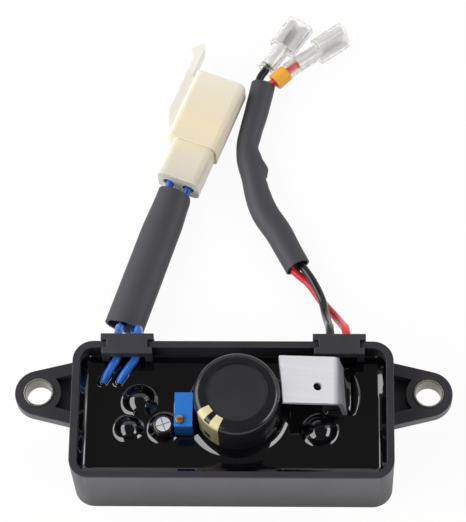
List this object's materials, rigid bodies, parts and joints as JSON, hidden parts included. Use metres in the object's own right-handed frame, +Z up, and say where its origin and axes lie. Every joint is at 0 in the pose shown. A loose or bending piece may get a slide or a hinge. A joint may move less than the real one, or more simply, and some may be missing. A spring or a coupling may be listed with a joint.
{
  "type": "automatic voltage regulator",
  "caption": "Potted voltage regulator for a small generator: black tray with bushed mounting ears, resin-filled, with capacitor, trimmer, heat sink and two pairs of leads.",
  "frame": {"origin": "middle of the tray's underside", "axes": "+X along the tray's length to the right, +Y towards the side where the leads leave, +Z up out of the open tray"},
  "size_m": [0.1178, 0.1494, 0.032],
  "materials": {
    "housing": "moulded, dark grey",
    "zinc": "zinc plated",
    "resin": "cured black resin",
    "board": "solder mask",
    "aluminium": "bare sheet",
    "black_film": "shrunk film",
    "disc": "plain disc",
    "seal": "moulded seal",
    "tinned": "tinned",
    "blue_plastic": "moulded, bright blue",
    "brass": "turned",
    "epoxy": "moulded epoxy",
    "film_box": "dipped",
    "resistor": "lacquered",
    "slide": "moulded, black",
    "blue_pvc": "wire covering",
    "red_pvc": "wire covering",
    "black_pvc": "wire covering",
    "sleeve": "soft tube",
    "nylon": "natural nylon",
    "clear_pvc": "clear soft moulding",
    "marker": "marker tube"
  },
  "bodies": {
    "regulator": {"housing": "housing", "mounting_bush_left": "zinc", "mounting_bush_right": "zinc", "potting_resin": "resin", "circuit_board": "board", "main_capacitor_can": "aluminium", "main_capacitor_sleeve": "black_film", "main_capacitor_disc": "disc", "main_capacitor_seal": "seal", "main_capacitor_pins": "tinned", "trimmer_body": "blue_plastic", "trimmer_pins": "tinned", "heat_sink": "aluminium", "power_transistor": "epoxy", "transistor_leads": "tinned", "small_capacitor_can": "aluminium", "small_capacitor_sleeve": "black_film", "small_capacitor_leads": "tinned", "radial_capacitor_1": "black_film", "radial_capacitor_2": "black_film", "film_capacitor": "film_box", "diode_1": "epoxy", "diode_2": "epoxy", "diode_3": "epoxy", "diode_4": "epoxy", "resistor_1": "resistor", "resistor_2": "resistor", "grommet_left": "slide", "grommet_right": "slide", "blue_wire_1": "blue_pvc", "blue_wire_2": "blue_pvc", "red_wire": "red_pvc", "black_wire": "black_pvc", "sleeve_left": "sleeve", "sleeve_right": "sleeve", "connector_housing": "nylon", "connector_terminal_1": "tinned", "connector_terminal_2": "tinned", "spade_terminal_black": "tinned", "spade_terminal_red": "tinned", "terminal_boot_black": "clear_pvc", "terminal_boot_red": "clear_pvc", "marker_sleeve": "marker"},
    "adjuster": {"trimmer_screw": "brass"}
  },
  "joints": [
    {"name": "adjuster_turn", "type": "hinge", "parent": "regulator", "child": "adjuster", "pos_m": [-0.0137, -0.00409, 0.0253], "axis": [0, 0, 1], "continuous": true}
  ]
}
